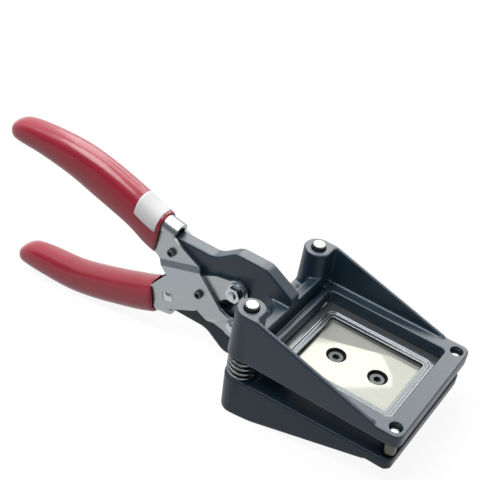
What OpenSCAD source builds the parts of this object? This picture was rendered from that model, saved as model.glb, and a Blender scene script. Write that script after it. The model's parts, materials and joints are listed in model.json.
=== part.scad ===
// Plier-type die cutter for identity cards: a punch in the lower jaw meets a die in the upper jaw,
// and two crossed levers press the jaws together on four guide pins.
// Heights are worked out from the mirror plane of the two jaws. The finished part is then lowered so
// that z = 0 is the punch's face, where the card lies, and x = y = 0 is the middle of the window.

/* [Cutting set] */
// Length of the cut picture, along x
window_l = 45; // [30:0.5:50]
// Width of the cut picture, along y
window_w = 35; // [25:0.5:40]
// Corner radius of the cut picture
window_r = 0.6; // [0.3:0.1:3]
// Cutting clearance between punch and die, each side
cut_gap = 0.05; // [0.02:0.01:0.1]
// Height of the punch's face above the mirror plane
punch_rise = 1.2; // [0.6:0.1:2]
// Height of the slot that the card slides into
slot_h = 1; // [0.8:0.1:1.4]
// Height of the punch
punch_h = 9; // [8:0.5:10]
// Thickness of the die's clamped flange
die_flange_t = 1.4; // [1.2:0.1:1.6]
// Height of the die's polished field above its flange
die_field_rise = 0.7; // [0.5:0.1:1.2]
// Depth of the shallow panel round the window
panel_depth = 0.5; // [0.3:0.1:0.8]
// Width of that panel beyond the window
panel_margin = 3; // [1.5:0.1:3.5]
// Distance from the window's middle to each punch screw
punch_screw_x = 10.2; // [8:0.1:14]
// Thread diameter of the punch screws
punch_screw_d = 4; // [3:0.5:5]
// Counterbore diameter over the punch screws
counterbore_d = 9; // [8:0.1:10]
// Distance that the screw heads lie under the punch's face
head_recess = 1.1; // [0.5:0.1:2]
// Thread diameter of the die screws
die_screw_d = 2.5; // [2:0.5:3]
// Length of the die screws
die_screw_l = 5; // [4:0.5:5.5]
// Distance of the die screws from the middle, along y
die_screw_y = 14; // [10:0.5:18]
// Thickness of the lower jaw's pad under the punch
pad_t = 4.6; // [4:0.1:6]
// Width of that pad beyond the punch
pad_margin = 3; // [2:0.5:4]

/* [Jaw frames] */
// Front end of the upper jaw
front_x = 36.5; // [35.5:0.1:40]
// How far the lower jaw's front lies behind the upper one's
front_setback = 1.2; // [0.5:0.1:2]
// Rear edge of the frame between the bosses
rear_x = -46.5; // [-50:0.1:-45]
// Half the width of the frame
half_w = 33.4; // [33:0.1:36]
// Height of the frame's top face above the mirror plane
frame_top = 10; // [9:0.1:12]
// Corner radius at the front
corner_r = 3.5; // [2:0.1:5]
// Front wall of the pocket
pocket_front = 28; // [27:0.1:28.4]
// Rear wall of the pocket
pocket_rear = -29.6; // [-30.5:0.1:-28]
// Half the width of the pocket
pocket_half_w = 25.8; // [23.5:0.1:26]
// Thickness of the side wings
wing_t = 1.9; // [1.4:0.1:2.2]
// Height of the wings at the rear, above the mirror plane
wing_rear_top = 28.4; // [28.1:0.1:30]
// Height of the wings at the front, above the mirror plane
wing_front_top = 10.7; // [10.5:0.1:12]
// Front end of the wings
wing_front_x = 23.8; // [20:0.1:26]
// Rear end of the wings, where the bosses are cut flat
wing_rear_x = -34.2; // [-34.8:0.1:-33.8]
// Height of the cross beam above the mirror plane
beam_top = 16; // [14:0.1:18]
// Thickness of the cross beam
beam_t = 5; // [4:0.1:7]
// Width of the rib behind the pocket
rib_t = 3; // [2:0.1:3.4]
// Depth of the groove between rib and beam
groove_depth = 2.5; // [1:0.1:4]
// Height of the lower jaw's rim under the mirror plane, at the front
rim_drop = 4.4; // [4.2:0.1:5]
// Slope of that rim, in degrees
rim_slope = 2.5; // [2:0.1:3]

/* [Guide pins and springs] */
// Guide posts, distance behind the window's middle
post_x = -40.5; // [-41:0.1:-40]
// Guide posts, distance from the middle along y
post_y = 26.9; // [26.5:0.1:27.1]
// Diameter of the guide posts
post_d = 6; // [5:0.1:6.5]
// Radius of the bosses round the posts at their free end
boss_r = 6.5; // [6:0.1:7]
// How much wider the bosses are at their foot
boss_draft = 0.7; // [0.2:0.1:0.9]
// Height of the bosses above the mirror plane
boss_top = 28.4; // [27:0.1:30]
// How far the posts stand out of the upper bosses
post_proud = 1.9; // [0.5:0.1:3]
// Front guide pins, distance from the middle along x
pin_x = 31.9; // [31.5:0.1:32.5]
// Front guide pins, distance from the middle along y
pin_y = 28.3; // [28:0.1:28.8]
// Diameter of the front guide pins
pin_d = 5.6; // [4:0.1:6.2]
// Distance that the front pins lie under the upper jaw's face
pin_recess = 2; // [1:0.1:4]
// Running clearance of every sliding pin, on the radius
slide_gap = 0.05; // [0.02:0.01:0.1]
// Outer diameter of the springs
spring_d = 13.4; // [12.5:0.1:13.8]
// Diameter of the spring wire
spring_wire = 1.4; // [1:0.1:1.5]
// Curls of each spring
spring_turns = 4; // [3:1:4]
// Free space left at each end of the springs
spring_gap = 0.05; // [0.02:0.01:0.2]

/* [Jaw arms] */
// Thickness of the arms
arm_t = 6.4; // [5.8:0.1:6.6]
// Rear end of the arms
arm_rear_x = -104; // [-105:0.5:-103.5]
// Height of the arms' rear part above the mirror plane
arm_top = 21.2; // [20:0.1:22]
// Height of the arms' hump above the mirror plane
hump_top = 29; // [27:0.1:31]
// Height of the arms' inner edge at the levers
arm_under = 7.6; // [7.2:0.1:8]
// Radius of the blend between arm and frame
arm_blend_r = 9; // [6:0.5:11]

/* [Levers] */
// Middle pivot, distance behind the window's middle
pivot_x = -78.5; // [-79:0.1:-78]
// Distance along x from the middle pivot to the others
lever_reach = 18; // [17.5:0.1:18.5]
// Height of the rear pins above the mirror plane
rear_rise = 13.3; // [13:0.1:13.6]
// Height of the front pivots above the mirror plane
front_rise = 10.8; // [10.5:0.1:11.1]
// Thickness of the lever plates
cheek_t = 1.6; // [1.4:0.1:1.8]
// Gap between the arms and the lever plates
cheek_gap = 0.2; // [0.1:0.05:0.3]
// Gap between the plates of the two levers
layer_gap = 0.15; // [0.1:0.05:0.3]
// Diameter of the lever pins
lever_pin_d = 4; // [3.6:0.1:4.4]
// Radius of the round front ends of the levers
lobe_r = 5.6; // [5.2:0.1:6]
// Width over which a lever plate steps outwards
joggle_w = 2.5; // [2:0.1:3]
// Travel of the jaws
stroke = 5; // [4:0.1:5.5]
// Clearance of the middle pivot, which lets the levers close like a scissor
pivot_gap = 0.1; // [0.08:0.01:0.15]

/* [Grips] */
// Rear end of the grips
tip_x = -196.8; // [-200:0.1:-194.5]
// Front end of the grips at the mouth
mouth_x = -104.5; // [-106:0.1:-103.5]
// Half the width of the grips
grip_half_w = 7.5; // [7:0.1:9]
// Depth of the levers' edges inside the grips
tang_inset = 4; // [3.5:0.1:4.5]
// Thickness of the label
label_t = 0.25; // [0.2:0.01:0.4]

/* [Hidden] */
$fn = 64;
// Colours that several pieces share
enamel = [0.13, 0.15, 0.18];
plate = [0.6, 0.63, 0.65];
vinyl = [0.72, 0.12, 0.17];
bright = [0.7, 0.71, 0.72];
blackened = [0.12, 0.12, 0.13];
// Gaps between the two halves of anything pressed or screwed together
seat_gap = 0.01;
// Overshoot of every cut past the face that it opens, and a length past the whole object
eps = 0.5;
beyond = 90;
// Blends and corners, in steps per rounded corner
corner_steps = 6;

// Faces of the lever plates, counted outwards from the middle
inner_y = arm_t / 2 + cheek_gap;
inner_back_y = inner_y + cheek_t;
outer_y = inner_back_y + layer_gap;
outer_back_y = outer_y + cheek_t;

// Pins of the linkage in the side view, as x and height over the mirror plane
upper_rear_pin = [pivot_x - lever_reach, rear_rise];
lower_rear_pin = [pivot_x - lever_reach, -rear_rise];
middle_pin = [pivot_x, 0];
upper_front_pin = [pivot_x + lever_reach, front_rise];
lower_front_pin = [pivot_x + lever_reach, -front_rise];

// Turn of each lever over the full stroke, and the slide of the rear pins along the arms
front_arm = norm([lever_reach, front_rise]);
closed_rise = front_rise - stroke / 2;
lever_turn = asin(front_rise / front_arm) - asin(closed_rise / front_arm);
pin_span = [2 * lever_reach, rear_rise + front_rise];
slot_run = norm(pin_span) * cos(atan(pin_span.y / pin_span.x) - lever_turn) - pin_span.x;

// Heights of the cutting set
slot_top = punch_rise + slot_h;
frame_under = slot_top + die_flange_t;
field_top = frame_under + die_field_rise;
punch_foot = punch_rise - punch_h;
pad_under = punch_foot - pad_t;
field_half = [(pocket_front - pocket_rear) / 2 - seat_gap, pocket_half_w - seat_gap];
field_x = (pocket_front + pocket_rear) / 2;
die_screw_front_x = (pocket_front + front_x) / 2;
die_screw_rear_x = wing_rear_x - beam_t / 2;

// Frame of the lower jaw
lower_front_x = front_x - front_setback;
function rim_z(x) = -rim_drop - (front_x - x) * tan(rim_slope);
spring_seat_z = rim_z(post_x) - 0.3;
post_r = post_d / 2;
pin_r = pin_d / 2;
lever_pin_r = lever_pin_d / 2;

// Outline of the arms in the side view: x, height and corner radius
ramp_x = -75;
hump_rear_x = -64.5;
hump_front_x = -49;
foot_top = 20;
neck_x = -71;
function arm_outline(foot) = [
    [arm_rear_x, arm_top, 4], [ramp_x, arm_top, 9], [hump_rear_x, hump_top, 8],
    [hump_front_x, hump_top, 9], [wing_rear_x, foot_top, 1], [wing_rear_x, foot, 0],
    [rear_x + 3, foot, 0], [rear_x - 2, frame_under, 0], [neck_x + 7, frame_under, 3],
    [neck_x, arm_under, 3], [arm_rear_x, arm_under, 4]
];

// Edge of a lever's plate ahead of its grip, from the spine's end round the front to the mouth
lever_edge = [
    [-81, 12.8, 2], [-66.4, -3, 4], [pivot_x + lever_reach + 1, -5.6, 0],
    [pivot_x + lever_reach - 3.4, -14.9, 0], [-72, -13.2, 2], [-78, -10.2, 2], [-97, 0.2, 3],
    [-100.5, 4.2, 1]
];
mouth_edge_x = mouth_x - 1.9;
upper_mouth_edge = 9.6;
lower_mouth_edge = 11.6;
// Line of the round spine that joins a lever's two plates
spine_front_x = -96.8;
spine_rear_x = -121;
spine_front_z = 21.2;
spine_step_x = spine_rear_x + 4;
spine_swell = 0.15;
spine_lead = 0.3;
spine_slope = 11.3;
function spine_z(x) = spine_front_z + (spine_front_x - x) * tan(spine_slope);
// Fold lines where the upper lever's plates step outwards: start point and direction
rear_fold = [[-103.5, 6.2], 18];
front_fold = [[-72.6, -15.3], 35];

// Grip sections from mouth to tip: x, middle height, half height and half width
upper_stations = [
    [mouth_x, 17.3, 11.3, grip_half_w - 0.2], [-111.5, 19.5, 11.1, grip_half_w],
    [-121, 23.9, 10.8, grip_half_w], [-131, 27.2, 10.8, grip_half_w],
    [-144, 30.8, 10.5, grip_half_w], [-158, 33.8, 9.1, grip_half_w],
    [-176, 35.1, 7.3, grip_half_w - 0.3], [-188, 34.7, 6.3, grip_half_w - 0.9],
    [-193.7, 33.7, 4.7, grip_half_w - 2.3], [tip_x, 32.8, 1.7, 1.9]
];
lower_stations = [
    [mouth_x, -19.1, 9.5, grip_half_w - 0.2], [-111.5, -22.3, 9.5, grip_half_w],
    [-120, -25.5, 9.6, grip_half_w], [-139, -31.9, 9.2, grip_half_w],
    [-156, -36, 8.4, grip_half_w], [-173, -37.2, 7.7, grip_half_w - 0.3],
    [-184, -38.2, 6.6, grip_half_w - 1], [-189.6, -39.9, 4.5, grip_half_w - 2.5],
    [tip_x + 4.4, -41.2, 1.7, 1.9]
];
mouth_lean = 0.14;
section_sides = 28;
ring_steps = 3;

// Points of a polygon whose corners are rounded by their own radius
function unit(v) = v / norm(v);
function flat(v) = [v.x, v.y];
function turn_to(a, b) = let(d = b - a) d > 180 ? d - 360 : d < -180 ? d + 360 : d;
function arc_corner(a, b, c, r) =
    let(
        u = unit(a - b), w = unit(c - b), half = acos(u * w) / 2,
        centre = b + unit(u + w) * r / sin(half),
        first = b + u * r / tan(half) - centre, last = b + w * r / tan(half) - centre,
        start = atan2(first.y, first.x), sweep = turn_to(start, atan2(last.y, last.x))
    )
    [for (i = [0 : corner_steps]) let(t = start + sweep * i / corner_steps) centre + r * [cos(t), sin(t)]];
function rounded(points) = [
    for (i = [0 : len(points) - 1])
        let(n = len(points), b = points[i])
            each b.z == 0 ? [flat(b)] :
                arc_corner(flat(points[(i + n - 1) % n]), flat(b), flat(points[(i + 1) % n]), b.z)
];

// Everything is drawn about the mirror plane and then lowered on to the punch's face
module on_punch() translate([0, 0, -punch_rise]) children();
module both_sides() {
    children();
    mirror([0, 1, 0]) children();
}
module below() mirror([0, 0, 1]) children();
// A side view drawn in x and z, given its thickness along y
module slab(y0, y1) translate([0, y1, 0]) rotate([90, 0, 0]) linear_extrude(y1 - y0) children();
module cross_hole(at, r, half) translate([at.x, half, at.y]) rotate([90, 0, 0]) cylinder(h = 2 * half, r = r);

module rounded_rect(half, r) {
    square([2 * (half.x - r), 2 * half.y], center = true);
    square([2 * half.x, 2 * (half.y - r)], center = true);
    for (sx = [-1, 1], sy = [-1, 1]) translate([sx * (half.x - r), sy * (half.y - r)]) circle(r);
}

// Plan of the punch and of the window, made wider all round by a margin
module window_plan(margin) rounded_rect([window_l / 2 + margin, window_w / 2 + margin], window_r + margin);

// Plan of the frame: square at the bosses, rounded at the front
module frame_plan(front) {
    translate([post_x, -half_w]) square([front - corner_r - post_x, 2 * half_w]);
    translate([rear_x, -post_y]) square([front - rear_x, 2 * post_y]);
    for (side = [-1, 1]) translate([front - corner_r, side * (half_w - corner_r)]) circle(corner_r);
    translate([front - 2 * corner_r, -half_w + corner_r]) square([2 * corner_r, 2 * (half_w - corner_r)]);
}

// Tapered boss round a post, with a nose that runs forward into the wing
boss_nose_y = post_y - 1.7;
module boss() {
    tangent_at = [post_x, post_y] + boss_r * [cos(34), -sin(34)];
    translate([post_x, post_y, frame_under])
        cylinder(h = boss_top - frame_under, r1 = boss_r + boss_draft, r2 = boss_r);
    translate([0, 0, frame_under]) linear_extrude(boss_top - frame_under) polygon([
        [post_x, post_y], tangent_at, [wing_rear_x, boss_nose_y], [wing_rear_x, half_w], [post_x, half_w]
    ]);
}

// Web that fills the corner between an arm and the cross beam
module blend_plan(r) {
    difference() {
        translate([-r, 0]) square(r);
        translate([-r, r]) circle(r);
    }
}

// Plate, wings, bosses and cross beam that both jaws share
module frame_body(front) {
    wing = [
        [wing_rear_x, frame_under], [wing_rear_x, wing_rear_top],
        [wing_front_x, wing_front_top], [wing_front_x, frame_under]
    ];
    translate([0, 0, frame_under]) linear_extrude(frame_top - frame_under) frame_plan(front);
    both_sides() slab(half_w - wing_t, half_w) polygon(wing);
    both_sides() difference() {
        boss();
        translate([wing_rear_x, 0, frame_top]) cube([2 * boss_r, half_w - wing_t, boss_top]);
    }
    translate([wing_rear_x - beam_t, -post_y, frame_under]) cube([beam_t, 2 * post_y, beam_top - frame_under]);
    both_sides() translate([wing_rear_x - beam_t, arm_t / 2, frame_under])
        linear_extrude(beam_top - frame_under) blend_plan(arm_blend_r);
}

module arm(foot) slab(-arm_t / 2, arm_t / 2) polygon(rounded(arm_outline(foot)));

// Slot that the rear pin of a lever slides in, and the bore of a front pivot
slot_spare = 0.6;
module arm_cuts() {
    slot_r = lever_pin_r + pivot_gap;
    front_end = upper_rear_pin + [slot_spare, 0];
    rear_end = upper_rear_pin - [slot_run + slot_spare, 0];
    for (at = [front_end, rear_end]) cross_hole(at, slot_r, arm_t);
    slab(-arm_t, arm_t) translate(rear_end - [0, slot_r]) square([front_end.x - rear_end.x, 2 * slot_r]);
    cross_hole(upper_front_pin, lever_pin_r + seat_gap, arm_t);
}

module upper_jaw() color(enamel) on_punch() difference() {
    union() {
        frame_body(front_x);
        arm(frame_under);
    }
    translate([field_x, 0, frame_under - eps]) linear_extrude(frame_top)
        rounded_rect([(pocket_front - pocket_rear) / 2, pocket_half_w], 2);
    translate([wing_rear_x, -pocket_half_w, frame_top - groove_depth])
        cube([pocket_rear - rib_t - wing_rear_x, 2 * pocket_half_w, boss_top]);
    both_sides() translate([post_x, post_y, 0]) cylinder(h = boss_top + eps, r = post_r + slide_gap);
    both_sides() translate([pin_x, pin_y, 0]) cylinder(h = frame_top + eps, r = pin_r + slide_gap);
    for (x = [die_screw_front_x, die_screw_rear_x], side = [-1, 1])
        translate([x, side * die_screw_y, frame_under - eps]) cylinder(h = die_screw_l, r = die_screw_d / 2 + seat_gap);
    arm_cuts();
}

module lower_jaw() color(enamel) on_punch() difference() {
    union() {
        intersection() {
            below() frame_body(lower_front_x);
            slab(-2 * half_w, 2 * half_w) polygon([
                [2 * rear_x, rim_z(2 * rear_x)], [2 * front_x, rim_z(2 * front_x)],
                [2 * front_x, -2 * boss_top], [2 * rear_x, -2 * boss_top]
            ]);
        }
        below() arm(-rim_z(rear_x));
        translate([0, 0, pad_under]) linear_extrude(pad_t - eps)
            rounded_rect([window_l / 2 + pad_margin, window_w / 2 + pad_margin], 4);
    }
    translate([0, 0, punch_foot]) linear_extrude(punch_h) window_plan(0.1);
    for (side = [-1, 1]) translate([side * punch_screw_x, 0, pad_under - eps])
        cylinder(h = punch_h, r = punch_screw_d / 2 + seat_gap);
    both_sides() translate([post_x, post_y, spring_seat_z]) cylinder(h = boss_top, r = boss_r + 2 * boss_draft + 1);
    both_sides() translate([post_x, post_y, -boss_top - eps]) cylinder(h = boss_top, r = post_r + seat_gap);
    both_sides() translate([pin_x, pin_y, -frame_top - eps]) cylinder(h = frame_top, r = pin_r + seat_gap);
    below() arm_cuts();
}

// Hardened plate with the window, its polished field standing up into the frame's pocket
module die_plate() color([0.78, 0.79, 0.76]) on_punch() difference() {
    union() {
        translate([0, 0, slot_top]) linear_extrude(die_flange_t) {
            translate([field_x, 0]) rounded_rect([field_half.x, pocket_half_w + 3], 3);
            translate([die_screw_rear_x - 3, -die_screw_y - 4])
                square([front_x - 2 - die_screw_rear_x + 3, 2 * die_screw_y + 8]);
        }
        translate([field_x, 0, slot_top]) linear_extrude(field_top - slot_top) rounded_rect(field_half, 2 - seat_gap);
    }
    translate([0, 0, slot_top - eps]) linear_extrude(field_top) window_plan(cut_gap);
    translate([0, 0, field_top - panel_depth]) linear_extrude(field_top) window_plan(panel_margin);
    for (x = [die_screw_front_x, die_screw_rear_x], side = [-1, 1]) translate([x, side * die_screw_y, slot_top]) {
        translate([0, 0, -eps]) cylinder(h = field_top, r = die_screw_d / 2 + 0.1);
        translate([0, 0, -seat_gap]) cylinder(h = die_screw_d / 2, r1 = die_screw_d, r2 = die_screw_d / 2);
    }
}

module die_screws() color([0.3, 0.3, 0.32]) on_punch() {
    head_h = die_screw_d / 2 - 0.15;
    for (x = [die_screw_front_x, die_screw_rear_x], side = [-1, 1])
        translate([x, side * die_screw_y, slot_top + 0.1]) difference() {
            union() {
                cylinder(h = head_h, r1 = die_screw_d - 0.15, r2 = die_screw_d / 2 - 0.05);
                cylinder(h = die_screw_l, r = die_screw_d / 2 - seat_gap);
            }
            translate([0, 0, -eps]) cylinder(h = eps + 0.8, r = 0.85, $fn = 6);
        }
}

module punch_block() color([0.86, 0.87, 0.83]) on_punch() difference() {
    translate([0, 0, punch_foot]) linear_extrude(punch_h) window_plan(0);
    for (side = [-1, 1]) translate([side * punch_screw_x, 0, punch_foot - eps]) {
        cylinder(h = 2 * punch_h, r = punch_screw_d / 2 + 0.2);
        translate([0, 0, punch_h + eps - head_recess - punch_screw_d]) cylinder(h = punch_h, r = counterbore_d / 2);
    }
}

module punch_screw() {
    head_under = punch_rise - head_recess - punch_screw_d;
    socket_r = 0.75 * punch_screw_d / 2 / cos(30);
    difference() {
        union() {
            translate([0, 0, head_under]) cylinder(h = punch_screw_d - 0.3, r = 0.875 * punch_screw_d);
            translate([0, 0, head_under + punch_screw_d - 0.3])
                cylinder(h = 0.3, r1 = 0.875 * punch_screw_d, r2 = 0.875 * punch_screw_d - 0.3);
            translate([0, 0, pad_under + 0.4]) cylinder(h = head_under - pad_under, r = punch_screw_d / 2);
        }
        translate([0, 0, head_under + punch_screw_d / 2]) cylinder(h = punch_screw_d, r = socket_r, $fn = 6);
    }
}
module punch_screw_front() color([0.62, 0.63, 0.64]) on_punch() translate([punch_screw_x, 0, 0]) punch_screw();
module punch_screw_rear() color([0.62, 0.63, 0.64]) on_punch() translate([-punch_screw_x, 0, 0]) punch_screw();

// Round pin with chamfered ends, from its foot to its top
module chamfered_pin(foot, top, r, chamfer = 0.5) {
    translate([0, 0, foot]) cylinder(h = chamfer, r1 = r - chamfer, r2 = r);
    translate([0, 0, foot + chamfer]) cylinder(h = top - foot - 2 * chamfer, r = r);
    translate([0, 0, top - chamfer]) cylinder(h = chamfer, r1 = r, r2 = r - chamfer);
}
module guide_post(side) color(bright) on_punch() translate([post_x, side * post_y, 0])
    chamfered_pin(1 - boss_top, boss_top + post_proud, post_r);
module guide_post_left() guide_post(1);
module guide_post_right() guide_post(-1);
module front_pin(side) color(bright) on_punch() translate([pin_x, side * pin_y, 0])
    chamfered_pin(0.5 - frame_top, frame_top - pin_recess, pin_r);
module front_pin_left() front_pin(1);
module front_pin_right() front_pin(-1);

// Return spring: one tube along a helix whose pitch eases to flat at both seats
curl_rings = 8;
wire_sides = 6;
ease_turns = 0.25;
spring_z0 = spring_seat_z + spring_gap + spring_wire / 2;
spring_z1 = frame_under - spring_gap - spring_wire / 2;
spring_pitch = (spring_z1 - spring_z0) / (spring_turns - ease_turns);
spring_rings = spring_turns * curl_rings;
function eased(u) = u < ease_turns ? u * u / (2 * ease_turns) : u - ease_turns / 2;
function spring_rise(u) = u > spring_turns - ease_turns ?
    spring_turns - ease_turns - eased(spring_turns - u) : eased(u);
function spring_point(u, r, dz) = [
    ((spring_d - spring_wire) / 2 + r) * cos(360 * u), ((spring_d - spring_wire) / 2 + r) * sin(360 * u),
    spring_z0 + spring_pitch * spring_rise(u) + dz
];
spring_axis = [for (i = [0 : spring_rings]) spring_point(i / curl_rings, 0, 0)];
spring_least_gap = min([
    for (i = [0 : spring_rings - curl_rings / 2]) for (j = [i + curl_rings / 2 : spring_rings])
        norm(spring_axis[i] - spring_axis[j]) - spring_wire
]);
echo(spring_least_gap = spring_least_gap);

module spring(side) {
    points = [for (i = [0 : spring_rings], k = [0 : wire_sides - 1])
        let(t = 360 * (k + 0.5) / wire_sides)
            spring_point(i / curl_rings, spring_wire / 2 * cos(t), spring_wire / 2 * sin(t))];
    skin = [for (i = [0 : spring_rings - 1], k = [0 : wire_sides - 1])
        let(a = i * wire_sides + k, b = i * wire_sides + (k + 1) % wire_sides)
            each [[a, b, b + wire_sides], [a, b + wire_sides, a + wire_sides]]];
    first = [for (k = [1 : wire_sides - 2]) [0, k + 1, k]];
    last_ring = spring_rings * wire_sides;
    last = [for (k = [1 : wire_sides - 2]) [last_ring, last_ring + k, last_ring + k + 1]];
    color([0.66, 0.67, 0.68]) on_punch() translate([post_x, side * post_y, 0]) mirror([0, side < 0 ? 1 : 0, 0])
        polyhedron(points, concat(skin, first, last));
}
module spring_left() spring(1);
module spring_right() spring(-1);

// Smooth station between two of a grip's own, by a Catmull-Rom curve
function station(list, t) =
    let(
        n = len(list) - 1, i = min(floor(t), n - 1), f = t - i,
        a = list[max(i - 1, 0)], b = list[i], c = list[i + 1], d = list[min(i + 2, n)]
    )
    (2 * b + (c - a) * f + (2 * a - 5 * b + 4 * c - d) * f * f + (3 * b - a - 3 * c + d) * f * f * f) / 2;
section_power = 0.8;
function swell(v) = sign(v) * pow(abs(v), section_power);
function grip_point(s, t, extra, lean) =
    let(
        y = (s[3] + extra) * swell(cos(t)), dz = (s[2] + extra) * swell(sin(t)),
        fade = max(0, 1 - (mouth_x - s[0]) / 20)
    )
    [s[0] + lean * fade * dz, y, s[1] + dz];
function grip_rings(list) = ring_steps * (len(list) - 1);
function grip_points(list, lean, extra, rings, sides) = [
    for (i = rings, k = sides) grip_point(station(list, i / ring_steps), 360 * k / section_sides, extra, lean)
];

module grip_body(list, lean) {
    n = section_sides;
    rings = grip_rings(list);
    skin = [for (i = [0 : rings - 1], k = [0 : n - 1])
        let(a = i * n + k, b = i * n + (k + 1) % n) each [[a, b + n, b], [a, a + n, b + n]]];
    ends = [for (k = [1 : n - 2]) each [[0, k, k + 1], [rings * n, rings * n + k + 1, rings * n + k]]];
    polyhedron(grip_points(list, lean, 0, [0 : rings], [0 : n - 1]), concat(skin, ends));
}

// Side view of a lever's plate: the edge ahead of the grip, then the tang inside the grip
last_tang = 6;
function tang_edge(list, way, first) =
    [for (i = [first : last_tang]) let(s = list[i]) [s[0], s[1] + way * (s[2] - tang_inset), 0]];
function reversed(list) = [for (i = [len(list) - 1 : -1 : 0]) list[i]];
function lever_outline(list, side, mouth_edge) = concat(
    [[spine_front_x, side * spine_z(spine_front_x), 0]],
    [for (p = lever_edge) [p.x, side * p.y, p.z]],
    [[mouth_edge_x, side * mouth_edge, 0]],
    tang_edge(list, -side, 1), reversed(tang_edge(list, side, 2)),
    [[spine_step_x, side * spine_z(spine_step_x), 0]]
);
module lever_plate(list, side, mouth_edge, front_pin) {
    polygon(rounded(lever_outline(list, side, mouth_edge)));
    translate(front_pin) circle(lobe_r);
}

// Side view of the space between a lever's two plates, under its rolled back and its web
module channel_view(list, side) {
    web = [for (p = tang_edge(list, side, 2)) [p.x, p.y - side * cheek_t]];
    last = web[len(web) - 1];
    polygon(concat(
        [[0, -side * beyond], [0, side * spine_z(0)], [spine_step_x, side * spine_z(spine_step_x)]],
        web, [[last.x - beyond, last.y], [last.x - beyond, -side * beyond]]
    ));
}
// Rod along the back of a lever, for the rolled edge that stands a little proud of the two plates
module spine_rod(r, over = 0) {
    run = (spine_front_x - spine_rear_x) / cos(spine_slope) + spine_lead + 2 * over;
    translate([spine_front_x, 0, spine_z(spine_front_x)]) rotate([0, spine_slope - 90, 0])
        translate([0, 0, -spine_lead - over]) cylinder(h = run, r = r);
}
// Solid that a grip is hollowed by
module tang_core(list, side, mouth_edge) {
    core_y = inner_back_y + 2 * seat_gap;
    slab(-core_y, core_y) polygon(rounded(lever_outline(list, side, mouth_edge)));
    mirror([0, 0, side < 0 ? 1 : 0]) spine_rod(core_y + spine_swell);
}

module lever_holes(r_rear, r_middle, r_front) {
    cross_hole(upper_rear_pin, r_rear, 2 * outer_back_y);
    cross_hole(middle_pin, r_middle, 2 * outer_back_y);
    cross_hole(lower_front_pin, r_front, 2 * outer_back_y);
}

// Space under a sheet that steps outwards at a fold line, drawn across the line and run along it
module under_fold(fold, turned, rise) {
    step = [
        [-beyond, -eps], [beyond, -eps], [beyond, outer_y + rise], [joggle_w, outer_y + rise],
        [0, inner_y + rise], [-beyond, inner_y + rise]
    ];
    translate([fold[0].x, 0, fold[0].y]) rotate([0, 90 - fold[1] - turned, 0])
        linear_extrude(2 * beyond, center = true) polygon(step);
}
module under_folds(rise) both_sides() intersection() {
    under_fold(rear_fold, 0, rise);
    under_fold(front_fold, 180, rise);
}

module upper_lever() color(plate) on_punch() difference() {
    union() {
        intersection() {
            slab(-2 * outer_y, 2 * outer_y) lever_plate(upper_stations, 1, upper_mouth_edge, lower_front_pin);
            under_folds(cheek_t);
        }
        spine_rod(inner_back_y + spine_swell);
    }
    intersection() {
        slab(-2 * outer_y, 2 * outer_y) channel_view(upper_stations, 1);
        under_folds(0);
    }
    spine_rod(inner_y - spine_swell, eps);
    lever_holes(lever_pin_r + seat_gap, lever_pin_r + seat_gap, lever_pin_r + slide_gap);
}

module lower_lever() color(plate) on_punch() difference() {
    union() {
        slab(-inner_back_y, inner_back_y) lever_plate(lower_stations, -1, lower_mouth_edge, upper_front_pin);
        below() spine_rod(inner_back_y + spine_swell);
    }
    slab(-inner_y, inner_y) channel_view(lower_stations, -1);
    below() spine_rod(inner_y - spine_swell, eps);
    below() lever_holes(lever_pin_r + seat_gap, lever_pin_r + pivot_gap, lever_pin_r + slide_gap);
}

module upper_grip() color(vinyl) on_punch() difference() {
    grip_body(upper_stations, mouth_lean);
    tang_core(upper_stations, 1, upper_mouth_edge);
}
module lower_grip() color(vinyl) on_punch() difference() {
    grip_body(lower_stations, -mouth_lean);
    tang_core(lower_stations, -1, lower_mouth_edge);
}

// Paper label wrapped over the upper grip, cut from the grip's own rings and sides
label_rings = [1 : 5];
label_sides = [5 : 13];
module grip_label() color([0.93, 0.93, 0.92]) on_punch() {
    rows = len([for (i = label_rings) i]);
    cols = len([for (k = label_sides) k]);
    inside = grip_points(upper_stations, mouth_lean, 0.02, label_rings, label_sides);
    outside = grip_points(upper_stations, mouth_lean, label_t, label_rings, label_sides);
    n = rows * cols;
    sheet = [for (i = [0 : rows - 2], k = [0 : cols - 2]) let(a = i * cols + k)
        each [[a, a + cols, a + 1], [a + 1, a + cols, a + cols + 1]]];
    rim = concat(
        [for (k = [0 : cols - 1]) k], [for (i = [1 : rows - 1]) i * cols + cols - 1],
        [for (k = [cols - 2 : -1 : 0]) (rows - 1) * cols + k], [for (i = [rows - 2 : -1 : 1]) i * cols]
    );
    edge = [for (i = [0 : len(rim) - 1]) let(a = rim[i], b = rim[(i + 1) % len(rim)])
        each [[a, b, b + n], [a, b + n, a + n]]];
    polyhedron(concat(inside, outside), concat(
        sheet, [for (f = sheet) [f[2] + n, f[1] + n, f[0] + n]], edge));
}

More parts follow.
